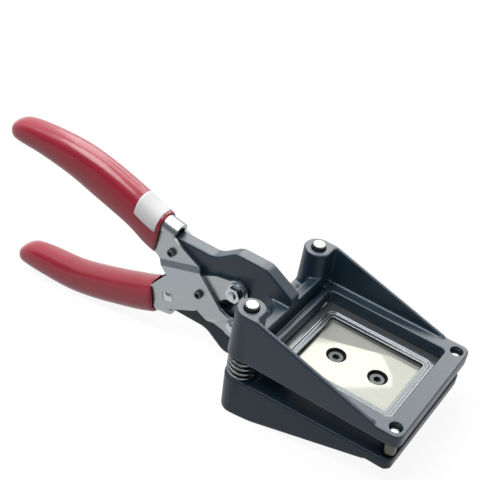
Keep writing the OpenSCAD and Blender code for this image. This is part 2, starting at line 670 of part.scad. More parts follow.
// Pins of the linkage, drawn along y through a point of the side view
module along_y(at, half) translate([at.x, half, at.y]) rotate([90, 0, 0]) children();
pin_proud = 1.8;
dimple_r = 1.2;
dimple_depth = 1.2;
module dimpled_pin(at, back_y) along_y(at, back_y + pin_proud) difference() {
    length = 2 * (back_y + pin_proud);
    chamfered_pin(0, length, lever_pin_r, 0.4);
    for (end = [0, length]) translate([0, 0, end - dimple_depth]) cylinder(h = 2 * dimple_depth, r = dimple_r);
}
module rear_pin_upper() color(blackened) on_punch() dimpled_pin(upper_rear_pin, inner_back_y);
module centre_pivot() color(blackened) on_punch() dimpled_pin(middle_pin, outer_back_y);
rivet_head_r = 2.9;
rivet_head_h = 1.4;
dome_r = 4;
module riveted_pin(at, half) {
    along_y(at, half) cylinder(h = 2 * half, r = lever_pin_r);
    for (side = [-1, 1]) translate([at.x, side * half, at.y]) rotate([-90 * side, 0, 0]) intersection() {
        cylinder(h = rivet_head_h + eps, r = rivet_head_r);
        translate([0, 0, rivet_head_h - dome_r]) sphere(dome_r);
    }
}
module rear_pin_lower() color(bright) on_punch() riveted_pin(lower_rear_pin, inner_back_y);
module front_rivet() color(bright) on_punch() riveted_pin(lower_front_pin, inner_back_y + 0.1);

nut_af = 7;
nut_r = nut_af / 2 / cos(30);
nut_h = 3.2;
bolt_head_h = 2.8;
corner_cut = 0.5;
// Hexagon whose corners are turned down at its outer end
module hexagon(h) intersection() {
    cylinder(h = h, r = nut_r, $fn = 6);
    union() {
        cylinder(h = h - corner_cut, r = nut_r + eps);
        translate([0, 0, h - corner_cut]) cylinder(h = corner_cut, r1 = nut_r, r2 = nut_r - 2 * corner_cut);
    }
}
washer_h = 0.8;
bolt_proud = 1;
nut_y = inner_back_y + 0.1 + washer_h;
module front_bolt() color(bright) on_punch() {
    tail = nut_y + nut_h + bolt_proud;
    head_y = inner_back_y + 0.1;
    translate([upper_front_pin.x, head_y, upper_front_pin.y]) rotate([90, 0, 0])
        chamfered_pin(-eps, tail + head_y, lever_pin_r, 0.4);
    translate([upper_front_pin.x, head_y, upper_front_pin.y]) rotate([-90, 0, 0])
        hexagon(bolt_head_h);
}
module front_nut() color(bright) on_punch()
    translate([upper_front_pin.x, -nut_y, upper_front_pin.y]) rotate([90, 0, 0]) difference() {
        hexagon(nut_h);
        translate([0, 0, -eps]) cylinder(h = 2 * nut_h, r = lever_pin_r + seat_gap);
    }
module front_washer() color(bright) on_punch()
    translate([upper_front_pin.x, -nut_y + washer_h, upper_front_pin.y]) rotate([90, 0, 0]) difference() {
        cylinder(h = washer_h, r = 4.4);
        translate([0, 0, -eps]) cylinder(h = 2 * washer_h, r = lever_pin_r + seat_gap);
    }

upper_jaw();
lower_jaw();
die_plate();
die_screws();
punch_block();
punch_screw_front();
punch_screw_rear();
guide_post_left();
guide_post_right();
front_pin_left();
front_pin_right();
spring_left();
spring_right();
upper_lever();
lower_lever();
upper_grip();
lower_grip();
grip_label();
rear_pin_upper();
rear_pin_lower();
centre_pivot();
front_bolt();
front_nut();
front_washer();
front_rivet();
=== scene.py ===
"""Looks of a plier-type card cutter, laid out as an add-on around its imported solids."""

import json
import math

import bmesh
import bpy
from bpy.props import FloatProperty, FloatVectorProperty, IntProperty, PointerProperty
from mathutils import Matrix, Vector


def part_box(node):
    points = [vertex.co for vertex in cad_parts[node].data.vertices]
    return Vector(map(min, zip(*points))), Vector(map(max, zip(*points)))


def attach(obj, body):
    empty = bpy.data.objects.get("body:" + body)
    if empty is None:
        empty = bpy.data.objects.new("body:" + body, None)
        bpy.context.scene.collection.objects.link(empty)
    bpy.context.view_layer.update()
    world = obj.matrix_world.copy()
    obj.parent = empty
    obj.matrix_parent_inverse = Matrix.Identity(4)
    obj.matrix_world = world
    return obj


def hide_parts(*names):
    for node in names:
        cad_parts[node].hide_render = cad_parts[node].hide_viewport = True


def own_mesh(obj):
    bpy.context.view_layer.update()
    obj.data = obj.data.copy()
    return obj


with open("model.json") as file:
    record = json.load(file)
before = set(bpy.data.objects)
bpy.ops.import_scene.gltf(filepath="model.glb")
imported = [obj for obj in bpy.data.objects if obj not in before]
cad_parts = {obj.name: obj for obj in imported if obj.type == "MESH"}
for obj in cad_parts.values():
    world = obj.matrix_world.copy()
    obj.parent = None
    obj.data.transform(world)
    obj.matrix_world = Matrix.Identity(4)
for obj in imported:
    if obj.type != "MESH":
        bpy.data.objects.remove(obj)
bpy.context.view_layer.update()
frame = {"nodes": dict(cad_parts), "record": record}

bl_info = {
    "name": "Card Cutter",
    "version": (1, 0, 0),
    "blender": (4, 5, 0),
    "location": "View3D > Sidebar > Card Cutter",
    "description": "Dresses the card cutter's solids with enamel, plated steel, vinyl and paper",
    "category": "Object",
}

RECORD = frame["record"]
NODE_BODY = {
    node: body for body, nodes in RECORD["behaviour"]["bodies"].items() for node in nodes}

MM = 0.001
UPRIGHT = Vector((0, 0, 1))
MERGE_REACH = 0.001 * MM            # points that are closer than this are one
FLAT_ANGLE = math.radians(1)        # faces that meet at less than this are one flat
CRISP_ANGLE = math.radians(30)      # edges over this are broken
SHARP_ANGLE = math.radians(35)      # edges over this look sharp on a turned piece
FACET_ANGLE = math.radians(30)      # triangles that meet at less than this are one facet of a bend
SKEW_ANGLE = math.radians(50)       # how far the corners of such a facet may be from square
CREASE_ANGLE = math.radians(50)     # edges over this stay crisp on a bent piece
NOISE_MIDDLE = (0.3, 0.7)           # most values of a noise lie between these

# Directions from the cutter to what lights it.
BEHIND = (-0.241, 0.692, 0.681)
OVERHEAD = (-0.36, -0.15, 0.92)
IN_FRONT = (-0.24, -0.86, 0.45)

# Left, right, low and high edges of the softboxes behind, which leave a gap for the cards.
BACK_SOFTBOXES = {
    "left_softbox": (0.11, 0.5, -0.35, 0.35),
    "right_softbox": (-0.35, -0.11, -0.35, 0.35),
    "upper_softbox": (-0.11, 0.11, 0.09, 0.35),
    "lower_softbox": (-0.11, 0.11, -0.35, -0.09),
}
TOP_SOFTBOX = (-0.35, 0.35, -0.28, 0.28)

# Corners of the cards that the polished steel and the enamel mirror.
BRIGHT_CARD = (
    (0.09, -0.01), (-0.013, -0.033), (-0.034, -0.018), (-0.048, 0), (-0.052, 0.0145),
    (-0.01, 0.027), (0.09, 0.055),
)
GREY_CARD = ((-0.12, -0.1), (0.12, -0.1), (0.12, 0.1), (-0.12, 0.1))
DARK_FLAG = ((-0.9, -0.45), (0.9, -0.45), (0.9, 0.5), (-0.9, 0.5))
WARM_WHITE = (1, 1, 0.97)
COOL_WHITE = (0.8, 0.9, 1)

FLOOR_REACH = 6.0
FLOOR_GREY = 0.3
FLOOR_GLOW = 1.31
FLOOR_GLOW_SHARE = 0.7              # the rest of the floor's look is matt, and keeps the shadow


class CutterSizes(bpy.types.PropertyGroup):
    """Sizes of the details that the finish adds to the solids."""

    casting_voxel: FloatProperty(
        name="Casting grain", description="Size of the faces that a casting is rebuilt from",
        default=0.48 * MM, min=0.3 * MM, max=1.0 * MM, precision=5, unit="LENGTH")
    casting_rounds: IntProperty(
        name="Casting softness",
        description="Passes that round a casting's edges under its enamel",
        default=3, min=1, max=20)
    die_voxel: FloatProperty(
        name="Die grain", description="Size of the faces that the die plate is rebuilt from",
        default=0.3 * MM, min=0.25 * MM, max=1.0 * MM, precision=5, unit="LENGTH")
    die_rounds: IntProperty(
        name="Die softness", description="Passes that round the steps of the die plate",
        default=2, min=1, max=10)
    window_relief: FloatProperty(
        name="Window relief",
        description="How far the walls of the die's window are set back from the solid's",
        default=0.12 * MM, min=0.0, max=0.4 * MM, precision=5, unit="LENGTH")
    dip_voxel: FloatProperty(
        name="Dip grain", description="Size of the faces that a dipped grip is rebuilt from",
        default=0.6 * MM, min=0.5 * MM, max=1.5 * MM, precision=5, unit="LENGTH")
    dip_rounds: IntProperty(
        name="Dip softness", description="Passes that smooth the vinyl of a dipped grip",
        default=8, min=1, max=20)
    label_levels: IntProperty(
        name="Label smoothness",
        description="Subdivisions that smooth the bent paper of the label",
        default=2, min=1, max=3)
    plate_edge: FloatProperty(
        name="Plate edge", description="Width of the broken edges of the lever plates",
        default=0.22 * MM, min=0.02 * MM, max=0.5 * MM, precision=5, unit="LENGTH")
    turned_edge: FloatProperty(
        name="Turned edge", description="Width of the broken edges of posts, pins and fasteners",
        default=0.15 * MM, min=0.02 * MM, max=0.4 * MM, precision=5, unit="LENGTH")
    tool_edge: FloatProperty(
        name="Tool edge", description="Width of the lapped edges of the punch",
        default=0.06 * MM, min=0.01 * MM, max=0.2 * MM, precision=5, unit="LENGTH")
    pin_sunk: FloatProperty(
        name="Pin depth", description="How far the front pins stay below the top of their bushes",
        default=1.97 * MM, min=0.1 * MM, max=4.0 * MM, precision=5, unit="LENGTH")
    pin_crown: FloatProperty(
        name="Pin crown", description="Radius of the bright flat on a front pin's crowned end",
        default=1.55 * MM, min=0.5 * MM, max=2.5 * MM, precision=5, unit="LENGTH")
    bush_gap: FloatProperty(
        name="Bush clearance", description="Space between a front pin and its bush",
        default=0.05 * MM, min=0.02 * MM, max=0.3 * MM, precision=5, unit="LENGTH")
    spring_travel: FloatProperty(
        name="Spring travel", description="How far the return springs close when the cutter cuts",
        default=5.0 * MM, min=1.0 * MM, max=6.0 * MM, precision=5, unit="LENGTH")
    spring_wire: FloatProperty(
        name="Spring wire", description="Diameter of the wire of the return springs",
        default=1.4 * MM, min=1.0 * MM, max=1.5 * MM, precision=5, unit="LENGTH")
    spring_turns: IntProperty(
        name="Spring turns", description="Turns of each return spring", default=4, min=3, max=4)


class CutterColours(bpy.types.PropertyGroup):
    """Colours of the finishes."""

    enamel: FloatVectorProperty(
        name="Enamel", description="Black enamel of the jaws", subtype="COLOR", size=3,
        default=(0.011, 0.028, 0.047), min=0.0, max=1.0)
    vinyl: FloatVectorProperty(
        name="Vinyl", description="Red dipped vinyl of the grips", subtype="COLOR", size=3,
        default=(0.36, 0.01, 0.031), min=0.0, max=1.0)
    zinc: FloatVectorProperty(
        name="Zinc plate", description="Bright steel of the levers, springs, fasteners and die",
        subtype="COLOR", size=3, default=(0.34, 0.37, 0.385), min=0.0, max=1.0)
    steel: FloatVectorProperty(
        name="Polished steel", description="Ground steel of the punch, posts and front pins",
        subtype="COLOR", size=3, default=(0.68, 0.69, 0.62), min=0.0, max=1.0)
    paper: FloatVectorProperty(
        name="Paper", description="White paper of the label", subtype="COLOR", size=3,
        default=(0.76, 0.77, 0.76), min=0.0, max=1.0)
    oxide: FloatVectorProperty(
        name="Black oxide", description="Blackened steel of the upper rear pin and centre pivot",
        subtype="COLOR", size=3, default=(0.1, 0.1, 0.105), min=0.0, max=1.0)


class StudioSettings(bpy.types.PropertyGroup):
    """Camera, lamps and floor."""

    azimuth: FloatProperty(
        name="Azimuth", description="Turn of the camera round the cutter", subtype="ANGLE",
        default=math.radians(28.92))
    elevation: FloatProperty(
        name="Elevation", description="Angle at which the camera looks down", subtype="ANGLE",
        default=math.radians(37.66))
    roll: FloatProperty(
        name="Roll", description="Turn of the camera about its own axis", subtype="ANGLE",
        default=math.radians(8.74))
    camera_place: FloatVectorProperty(
        name="Camera place", description="Where the camera stands", subtype="TRANSLATION",
        size=3, default=(0.112, -0.3215, 0.3166), unit="LENGTH")
    lens: FloatProperty(
        name="Lens", description="Focal length of the camera", default=80.66, min=20.0,
        max=200.0, unit="CAMERA")
    sky_level: FloatProperty(
        name="Sky level", description="Light that the white surroundings give",
        default=0.1, min=0.0, max=2.0)
    box_level: FloatProperty(
        name="Softbox level", description="Radiance of the softboxes behind the cutter",
        default=3.0, min=0.0, max=10.0)
    top_level: FloatProperty(
        name="Top softbox level", description="Radiance of the softbox overhead",
        default=5.6, min=0.0, max=10.0)
    fill_watts: FloatProperty(
        name="Fill", description="Power of the soft lamp that fills the jaws from in front",
        default=11.0, min=0.0, max=60.0, unit="POWER")
    grip_watts: FloatProperty(
        name="Grip lamp", description="Power of the soft lamp over the ends of the grips",
        default=26.0, min=0.0, max=60.0, unit="POWER")
    card_level: FloatProperty(
        name="Card level", description="Radiance of the card that the punch mirrors",
        default=1.7, min=0.0, max=4.0)
    dusk_level: FloatProperty(
        name="Dusk level", description="Radiance of the grey card behind the bright one",
        default=0.85, min=0.0, max=2.0)
    flag_level: FloatProperty(
        name="Flag level", description="Radiance of the dark cloth in front",
        default=0.3, min=0.0, max=1.0)


class Signal:
    """One output of a finish's nodes. Arithmetic on signals adds Math nodes."""

    def __init__(self, finish, socket):
        self.finish = finish
        self.socket = socket

    def combine(self, operation, first, second):
        return self.finish.node("ShaderNodeMath", {0: first, 1: second}, operation=operation)

    def __add__(self, other):
        return self.combine("ADD", self, other)

    def __radd__(self, other):
        return self.combine("ADD", other, self)

    def __sub__(self, other):
        return self.combine("SUBTRACT", self, other)

    def __rsub__(self, other):
        return self.combine("SUBTRACT", other, self)

    def __mul__(self, other):
        return self.combine("MULTIPLY", self, other)

    def __rmul__(self, other):
        return self.combine("MULTIPLY", other, self)


class Finish:
    """A material made of nodes."""

    def __init__(self, name):
        self.material = bpy.data.materials.new(name)
        self.begin(self.material)

    def begin(self, owner):
        """Starts with an empty node tree and the piece's own coordinates."""
        owner.use_nodes = True
        self.tree = owner.node_tree
        self.tree.nodes.clear()
        self.place = self.node("ShaderNodeTexCoord", output="Object")

    def node(self, kind, sockets=None, output=0, **settings):
        """Adds a node, with its settings set before its sockets, and returns one output."""
        made = self.tree.nodes.new(kind)
        for name, value in settings.items():
            setattr(made, name, value)
        for name, value in (sockets or {}).items():
            if isinstance(value, Signal):
                self.tree.links.new(value.socket, made.inputs[name])
            else:
                made.inputs[name].default_value = value
        return None if output is None else Signal(self, made.outputs[output])

    def stretched(self, scale):
        """Object coordinates stretched by a scale along each axis."""
        return self.node("ShaderNodeMapping", {"Vector": self.place, "Scale": scale})

    def noise(self, scale, detail, rough, vector=None):
        return self.node("ShaderNodeTexNoise", {
            "Vector": vector or self.place, "Scale": scale, "Detail": detail,
            "Roughness": rough})

    def ranged(self, signal, low, high, to_low=0.0, to_high=1.0):
        """A signal that runs from one value to another while its source goes from low to high."""
        return self.node("ShaderNodeMapRange", {
            "Value": signal, "From Min": low, "From Max": high, "To Min": to_low,
            "To Max": to_high})

    def spread(self, noise, to_low=0.0, to_high=1.0):
        """A noise, spread from one value to another."""
        return self.ranged(noise, *NOISE_MIDDLE, to_low, to_high)

    def mixed(self, factor, first, second):
        """A colour between two."""
        return self.node("ShaderNodeMix", {
            "Factor": factor,
            "A": first if isinstance(first, Signal) else (*first, 1),
            "B": second if isinstance(second, Signal) else (*second, 1),
        }, output="Result", data_type="RGBA")

    def bump(self, height, distance, strength):
        return self.node("ShaderNodeBump", {
            "Height": height, "Distance": distance, "Strength": strength})

    def surface(self, **sockets):
        """Closes the material with one Principled shader."""
        self.close(self.node("ShaderNodeBsdfPrincipled", {
            name.replace("_", " "): value for name, value in sockets.items()}))
        return self.material

    def close(self, shader, kind="ShaderNodeOutputMaterial"):
        self.node(kind, {"Surface": shader}, output=None)

    def upward(self, low, high):
        """0 on walls and 1 on tops, between two heights of the normal."""
        normal = self.node("ShaderNodeNewGeometry", output="Normal")
        height = self.node("ShaderNodeSeparateXYZ", {"Vector": normal}, output="Z")
        return self.ranged(height, low, high)

    def seen(self):
        """1 for what is seen straight, mirrored or through glass, 0 for light on matt faces."""
        rays = [self.node("ShaderNodeLightPath", output=ray)
                for ray in ("Is Camera Ray", "Is Glossy Ray", "Is Transmission Ray")]
        return rays[0] + rays[1] + rays[2]


class Sky(Finish):
    """A world made of nodes."""

    def __init__(self, name):
        self.world = bpy.data.worlds.new(name)
        self.begin(self.world)


def scaled(colour, factor):
    return tuple(channel * factor for channel in colour)


def enamel_finish(colours, name, shade, pooled):
    """Gloss enamel over a rough casting, with a faint orange peel.

    A lower shade paints shade into the enamel: its colour is darker and it mirrors less. Pooled is
    the coat's weight on tops.
    """
    finish = Finish(name)
    peel = finish.noise(420, detail=2, rough=0.4) + finish.noise(90, detail=2, rough=0.4) * 2.0
    cloud = finish.noise(60, detail=4, rough=0.6)
    thick, thin = scaled(colours.enamel, 0.8 * shade), scaled(colours.enamel, 1.3 * shade)
    return finish.surface(
        Base_Color=finish.mixed(cloud, thick, thin),
        Roughness=finish.spread(cloud, 0.32, 0.4), IOR=1.0 + 0.43 * shade,
        Coat_Weight=finish.upward(0.6, 0.95) * pooled, Coat_Roughness=0.34, Coat_IOR=1.55,
        Normal=finish.bump(peel, distance=0.02 * MM, strength=0.3))


def zinc_finish(colours, name="zinc_plate", grain=(60, 400, 400), shade=1.0, rough=0.26):
    """Bright zinc plate with a fine grain and a faint blue and straw passivation."""
    finish = Finish(name)
    lines = finish.noise(1.4, detail=3, rough=0.5, vector=finish.stretched(grain))
    cloud = finish.noise(55, detail=2, rough=0.5)
    red, green, blue = colours.zinc
    cool = scaled((red * 0.97, green, blue * 1.03), shade)
    warm = scaled((red * 1.03, green * 1.01, blue * 0.97), shade)
    return finish.surface(
        Base_Color=finish.mixed(finish.ranged(cloud, 0.35, 0.65), cool, warm), Metallic=1.0,
        Roughness=finish.spread(lines, rough, rough * 1.25),
        Normal=finish.bump(lines, distance=0.001 * MM, strength=0.1))


def lapped_finish(name, colour, rough, grain, metal):
    """Tool steel, lapped on top with the finest of hairlines, with painted shade that darkens its
    walls.
    """
    finish = Finish(name)
    lines = finish.noise(1.2, detail=2, rough=0.5, vector=finish.stretched(grain))
    lapped = finish.mixed(lines, scaled(colour, 0.96), scaled(colour, 1.04))
    return finish.surface(
        # Painted shade: faces that don't look up get the colour at 0.08, as if their walls lay in
        # shadow.
        Base_Color=finish.mixed(finish.upward(0.8, 0.97), scaled(colour, 0.08), lapped),
        Metallic=metal, Roughness=finish.spread(lines, rough, rough * 1.1))


def ground_pin_finish(colours):
    """Pins whose ends are ground bright, and whose shanks are darkened with painted shade."""
    finish = Finish("ground_pin")
    rings = finish.noise(1.2, detail=2, rough=0.5, vector=finish.stretched((60, 60, 900)))
    bright = finish.mixed(rings, scaled(colours.steel, 0.92), scaled(colours.steel, 1.04))
    # Painted shade: the shanks get the steel at 0.14, darker than the ends as if out of the light.
    painted_shade = scaled(colours.steel, 0.14)
    return finish.surface(
        Base_Color=finish.mixed(finish.upward(0.6, 0.97), painted_shade, bright), Metallic=1.0,
        Roughness=finish.spread(rings, 0.2, 0.28))


def oxide_finish(colours):
    """Black oxide with bright wear where the pin turns."""
    finish = Finish("black_oxide")
    wear = finish.ranged(finish.noise(700, detail=4, rough=0.6), 0.55, 0.75)
    skin = finish.noise(1500, detail=2, rough=0.5)
    return finish.surface(
        Base_Color=finish.mixed(wear, colours.oxide, scaled(colours.zinc, 0.5)), Metallic=1.0,
        Roughness=0.24 - wear * 0.06,
        Normal=finish.bump(skin, distance=0.004 * MM, strength=0.2))


def vinyl_finish(colours):
    """Dipped vinyl, glossiest on top, with the slow ripples of a dip."""
    finish = Finish("red_vinyl")
    ripple = finish.noise(1.0, detail=1, rough=0.5, vector=finish.stretched((30, 60, 60)))
    cloud = finish.noise(45, detail=3, rough=0.5)
    deep, pale = scaled(colours.vinyl, 0.92), scaled(colours.vinyl, 1.06)
    return finish.surface(
        Base_Color=finish.mixed(cloud, deep, pale),
        Roughness=finish.spread(cloud, 0.34, 0.42), IOR=1.4,
        Coat_Weight=0.3 + finish.upward(0.2, 0.8) * 0.7, Coat_Roughness=0.18, Coat_IOR=1.5,
        Normal=finish.bump(ripple, distance=0.1 * MM, strength=0.12))


def paper_finish(colours):
    """Matt paper with a faint fibre."""
    finish = Finish("label_paper")
    fibre = finish.noise(1800, detail=4, rough=0.7)
    return finish.surface(
        Base_Color=finish.mixed(
            finish.spread(fibre), scaled(colours.paper, 0.95), colours.paper),
        Roughness=0.55, Normal=finish.bump(fibre, distance=0.02 * MM, strength=0.3))


def glow_finish(name, colour, level):
    """A card that shines evenly."""
    finish = Finish(name)
    finish.close(finish.node("ShaderNodeEmission", {"Color": (*colour, 1), "Strength": level}))
    return finish.material


def floor_finish():
    """White where it is seen, with the shadow that falls on its matt share."""
    finish = Finish("pale_floor")
    grey = (FLOOR_GREY, FLOOR_GREY, FLOOR_GREY, 1)
    matt = finish.node("ShaderNodeBsdfDiffuse", {"Color": grey})
    glow = finish.node("ShaderNodeEmission", {"Color": (1, 1, 1, 1), "Strength": FLOOR_GLOW})
    finish.close(finish.node("ShaderNodeMixShader", {
        0: finish.seen() * FLOOR_GLOW_SHARE, 1: matt, 2: glow}))
    return finish.material


def finished(piece, material, node):
    """Shows a new piece in place of the solid that it stands for, on the same body."""
    piece.data.materials.clear()
    piece.data.materials.append(material)
    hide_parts(node)
    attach(piece, NODE_BODY[node])


def added(name, data):
    """A new object in the scene."""
    thing = bpy.data.objects.new(name, data)
    bpy.context.scene.collection.objects.link(thing)
    return thing


def modelled(name, bm):
    """A new object whose mesh is a bmesh."""
    mesh = bpy.data.meshes.new(name)
    bm.to_mesh(mesh)
    bm.free()
    return added(name, mesh)


def opened(mesh):
    """A mesh as a bmesh."""
    bm = bmesh.new()
    bm.from_mesh(mesh)
    return bm


def closed(bm, mesh):
    """Puts a bmesh back into its mesh, shaded smooth."""
    for face in bm.faces:
        face.smooth = True
    bm.to_mesh(mesh)
    bm.free()


def merged_copy(node, name):
    """A copy of a solid's mesh with its loose triangles joined."""
    mesh = frame["nodes"][node].data.copy()
    mesh.name = name
    bm = opened(mesh)
    bmesh.ops.remove_doubles(bm, verts=bm.verts, dist=MERGE_REACH)
    closed(bm, mesh)
    return added(name, mesh)


def applied(piece):
    """Applies a piece's modifiers."""
    graph = bpy.context.evaluated_depsgraph_get()
    mesh = bpy.data.meshes.new_from_object(piece.evaluated_get(graph))
    piece.modifiers.clear()
    old = piece.data
    piece.data = mesh
    bpy.data.meshes.remove(old)
    return piece


def edges_broken(node, name, width):
    """A piece with its crisp edges rounded, whose flats stay flat in the shading."""
    piece = merged_copy(node, name)
    bm = opened(piece.data)
    bmesh.ops.dissolve_limit(bm, angle_limit=FLAT_ANGLE, verts=bm.verts, edges=bm.edges)
    crisp = [edge for edge in bm.edges
             if edge.is_manifold and edge.calc_face_angle() > CRISP_ANGLE]
    bmesh.ops.bevel(
        bm, geom=crisp, offset=width, segments=2, profile=0.5, affect="EDGES", material=-1,
        clamp_overlap=True)
    closed(bm, piece.data)
    piece.modifiers.new("flats", "WEIGHTED_NORMAL").keep_sharp = True
    return applied(piece)


def return_spring(node, wire, turns, side, steps=32, ease=8, wire_sides=14):
    """A coil of round wire, whose turns ease to flat at both seats, swept round its post."""
    low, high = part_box(node)
    axis = Vector(((low.x + high.x) / 2, (low.y + high.y) / 2, 0))
    coil = (high.x - low.x - wire) / 2
    total = turns * steps
    pitch = (high.z - low.z - wire) / (total - ease)
    start = Matrix.Translation(axis + Vector((coil, 0, low.z + wire / 2)))
    bm = bmesh.new()
    ring = bmesh.ops.create_circle(
        bm, cap_ends=True, radius=wire / 2, segments=wire_sides,
        matrix=start @ Matrix.Rotation(math.pi / 2, 4, "X"))["verts"]
    last = ring + bm.edges[:]
    for step in range(total):
        rise = pitch * min(1, (step + 0.5) / ease, (total - step - 0.5) / ease)
        last = bmesh.ops.spin(
            bm, geom=last, cent=axis, axis=(0, 0, side), dvec=(0, 0, rise),
            angle=math.tau / steps, steps=1, use_merge=False, use_duplicate=False)["geom_last"]
    bmesh.ops.contextual_create(bm, geom=last)
    bmesh.ops.recalc_face_normals(bm, faces=bm.faces)
    for face in bm.faces:
        face.smooth = len(face.verts) == 4
    return modelled(node + "_coil", bm)


def turned(name, sections, ring=False, steps=48):
    """Solids turned about upright axes from the corners of their half sections.

    Each section is an axis and its corners, which a ring joins into a loop.
    """
    bm = bmesh.new()
    for axis, corners in sections:
        profile = [bm.verts.new((axis.x + radius, axis.y, z)) for radius, z in corners]
        ends = profile[1:] + profile[:1] if ring else profile[1:]
        edges = [bm.edges.new(pair) for pair in zip(profile, ends)]
        bmesh.ops.spin(
            bm, geom=profile + edges, cent=axis, axis=UPRIGHT, angle=math.tau, steps=steps,
            use_merge=True, use_duplicate=False)
    bmesh.ops.remove_doubles(bm, verts=bm.verts, dist=MERGE_REACH)
    bmesh.ops.recalc_face_normals(bm, faces=bm.faces)
    for face in bm.faces:
        face.smooth = True
    piece = modelled(name, bm)
    piece.data.set_sharp_from_angle(angle=SHARP_ANGLE)
    return piece


def front_pin(node, crown, foot=0.5 * MM, lip_share=0.45, drops=(2.2, 1.0, 0.25)):
    """A front pin, whose end is crowned to lead into its bush.

    The drops say how deep the corners of its lip lie below the bright flat, in widths of the lip.
    """
    low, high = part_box(node)
    radius = (high.x - low.x) / 2
    lip = (radius - crown) * lip_share
    shoulder, outer, inner = (high.z - lip * drop for drop in drops)
    return turned(node + "_crowned", [((low + high) / 2, [
        (0, low.z), (radius - foot, low.z), (radius, low.z + foot), (radius, shoulder),
        (radius - lip / 2, outer), (crown + lip / 2, inner), (crown, high.z), (0, high.z),
    ])])


def front_bushes(sunk, gap, wall=0.9 * MM, depth=5 * MM, chamfer=0.15 * MM):
    """Thin bushes in the frame's front holes, round the pins that slide in them."""
    sections = []
    for node in ("front_pin_left", "front_pin_right"):
        low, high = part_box(node)
        inner, top = (high.x - low.x) / 2 + gap, high.z + sunk
        sections.append(((low + high) / 2, [
            (inner, top - depth), (inner + wall, top - depth), (inner + wall, top),
            (inner + chamfer, top), (inner, top - chamfer),
        ]))
    return turned("front_bushes", sections, ring=True)


def rounded(node, name, levels):
    """A bent piece, whose facets run into one smooth skin that is crisp only at its edges."""
    piece = merged_copy(node, name)
    bm = opened(piece.data)
    bmesh.ops.join_triangles(
        bm, faces=bm.faces, angle_face_threshold=FACET_ANGLE, angle_shape_threshold=SKEW_ANGLE)
    crease = bm.edges.layers.float.new("crease_edge")
    for edge in bm.edges:
        if edge.is_manifold and edge.calc_face_angle() > CREASE_ANGLE:
            edge[crease] = 0.9
    closed(bm, piece.data)
    skin = piece.modifiers.new("skin", "SUBSURF")
    skin.levels = skin.render_levels = levels
    return applied(piece)


def softened(node, name, voxel, rounds):
    """A piece rebuilt with rounded edges and fillets, as a coat or polishing leaves them."""
    piece = merged_copy(node, name)
    remesh = piece.modifiers.new("grain", "REMESH")
    remesh.mode = "VOXEL"
    remesh.voxel_size = voxel
    remesh.use_smooth_shade = True
    applied(piece)
    bm = opened(piece.data)
    for _ in range(rounds):
        bmesh.ops.smooth_vert(
            bm, verts=bm.verts, factor=0.5, use_axis_x=True, use_axis_y=True, use_axis_z=True)
    closed(bm, piece.data)
    return piece


def relieved(piece, node, gap, reach=1 * MM, steep=0.7):
    """Sets the walls of a window back, so that the node that plunges through clears them.

    Walls are the faces within reach of the node whose normals rise less than steep.
    """
    low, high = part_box(node)
    bm = opened(piece.data)
    for vert in bm.verts:
        near = all(low[i] - reach < vert.co[i] < high[i] + reach for i in (0, 1))
        if near and abs(vert.normal.z) < steep:
            vert.co -= Vector((vert.normal.x, vert.normal.y, 0)) * gap
    closed(bm, piece.data)


class CUTTER_OT_jaws(bpy.types.Operator):
    """Makes the two enamelled castings and the bushes of the front pins"""

    bl_idname = "cutter.jaws"
    bl_label = "Jaws"

    def execute(self, context):
        colours, sizes = context.scene.cutter_colours, context.scene.cutter_sizes
        full = enamel_finish(colours, "black_enamel", shade=1.0, pooled=1.0)
        # The lower jaw's enamel is the upper jaw's paint with painted shade: darker, mirroring
        # less, and with little coat on its tops.
        thin = enamel_finish(colours, "painted_shade_enamel", shade=0.75, pooled=0.15)
        for node, enamel in (("upper_jaw", full), ("lower_jaw", thin)):
            casting = softened(
                node, node + "_casting", sizes.casting_voxel, sizes.casting_rounds)
            finished(casting, enamel, node)
        bushes = front_bushes(sizes.pin_sunk, sizes.bush_gap)
        bushes.data.materials.append(full)
        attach(bushes, NODE_BODY["upper_jaw"])
        return {"FINISHED"}


class CUTTER_OT_cutting_set(bpy.types.Operator):
    """Makes the die, the punch and their screws"""

    bl_idname = "cutter.cutting_set"
    bl_label = "Punch and die"

    def execute(self, context):
        colours, sizes = context.scene.cutter_colours, context.scene.cutter_sizes
        die = softened("die_plate", "die_lapped", sizes.die_voxel, sizes.die_rounds)
        relieved(die, "punch_block", sizes.window_relief)
        satin = lapped_finish(
            "die_steel", scaled(colours.zinc, 0.76), rough=0.16, grain=(60, 30, 30), metal=0.8)
        finished(die, satin, "die_plate")
        punch = edges_broken("punch_block", "punch_lapped", sizes.tool_edge)
        mirror = lapped_finish(
            "punch_steel", scaled(colours.steel, 1.1), rough=0.03, grain=(40, 300, 40),
            metal=0.44)
        finished(punch, mirror, "punch_block")
        dark = zinc_finish(colours, "screw_plate", grain=(700, 700, 700), shade=0.34, rough=0.22)
        for node in ("punch_screw_front", "punch_screw_rear", "die_screws"):
            finished(edges_broken(node, node + "_turned", sizes.turned_edge), dark, node)
        return {"FINISHED"}


class CUTTER_OT_guides(bpy.types.Operator):
    """Makes the guide posts, the front pins and the springs"""

    bl_idname = "cutter.guides"
    bl_label = "Guides and springs"

    def execute(self, context):
        colours, sizes = context.scene.cutter_colours, context.scene.cutter_sizes
        ground = ground_pin_finish(colours)
        wire = zinc_finish(colours, "spring_steel", grain=(500, 500, 500), shade=0.5, rough=0.14)
        for node in ("guide_post_left", "guide_post_right"):
            finished(edges_broken(node, node + "_ground", sizes.turned_edge), ground, node)
        for node in ("front_pin_left", "front_pin_right"):
            finished(front_pin(node, sizes.pin_crown), ground, node)
        for node, side in (("spring_left", 1), ("spring_right", -1)):
            spring = return_spring(node, sizes.spring_wire, sizes.spring_turns, side)
            finished(spring, wire, node)
            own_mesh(spring)
        return {"FINISHED"}


